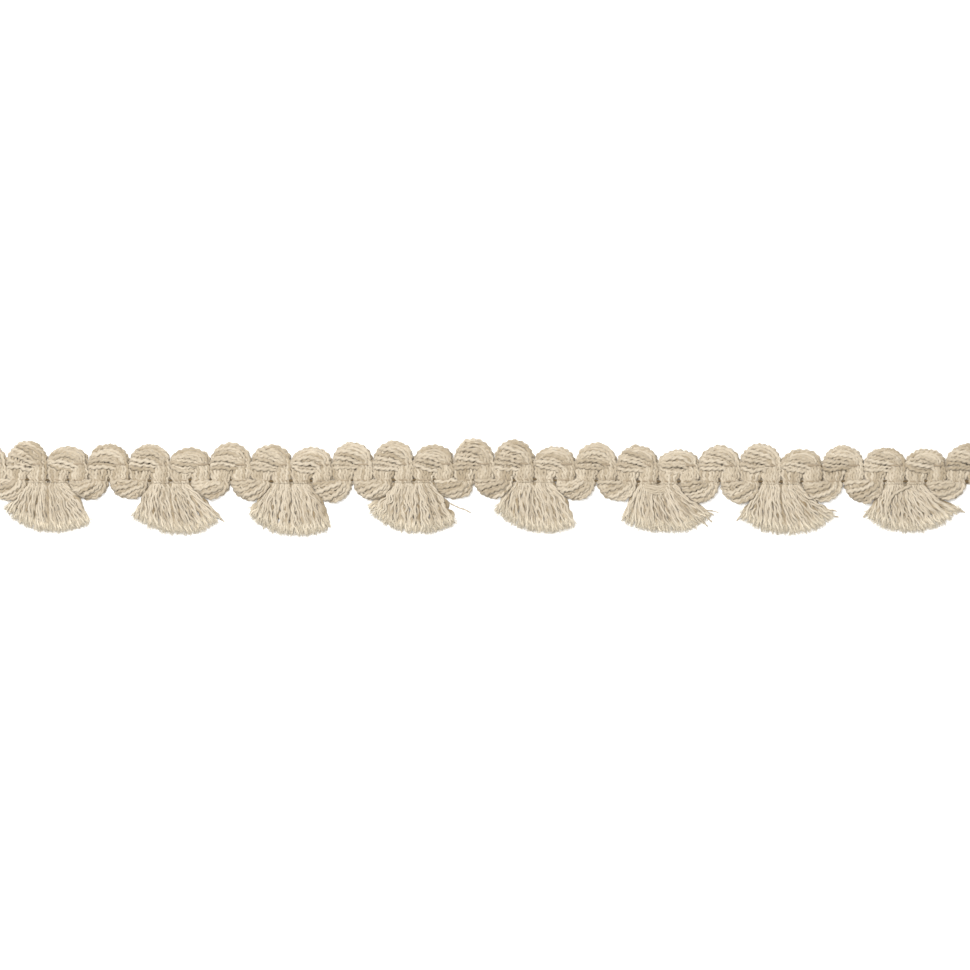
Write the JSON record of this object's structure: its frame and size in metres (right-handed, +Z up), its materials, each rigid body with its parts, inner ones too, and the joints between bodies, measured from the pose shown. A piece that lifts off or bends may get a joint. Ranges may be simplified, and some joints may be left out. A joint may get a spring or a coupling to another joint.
{
  "type": "tassel gimp braid",
  "caption": "Cut length of soft cotton gimp braid with a scalloped heading and brush tassels along its lower edge, lying flat.",
  "frame": {"origin": "on the flat back, under the middle of the braid's plan", "axes": "+X along the braid, +Y towards its scalloped edge and away from the tassels, +Z up from its flat back to its face"},
  "size_m": [0.2116, 0.0204, 0.0028],
  "materials": {
    "yarn": "matte soft cotton yarn",
    "cut_yarn": "matte cut cotton yarn",
    "thread": "matte cotton thread"
  },
  "bodies": {
    "root": {"bundle_1": "yarn", "bundle_2": "yarn", "bundle_3": "yarn", "bundle_4": "yarn", "bundle_5": "yarn", "bundle_6": "yarn", "bundle_7": "yarn", "bundle_8": "yarn", "bundle_9": "yarn", "tassel_1": "cut_yarn", "tassel_2": "cut_yarn", "tassel_3": "cut_yarn", "tassel_4": "cut_yarn", "tassel_5": "cut_yarn", "tassel_6": "cut_yarn", "tassel_7": "cut_yarn", "tassel_8": "cut_yarn", "chain_lower": "thread", "chain_upper": "thread"}
  },
  "joints": []
}
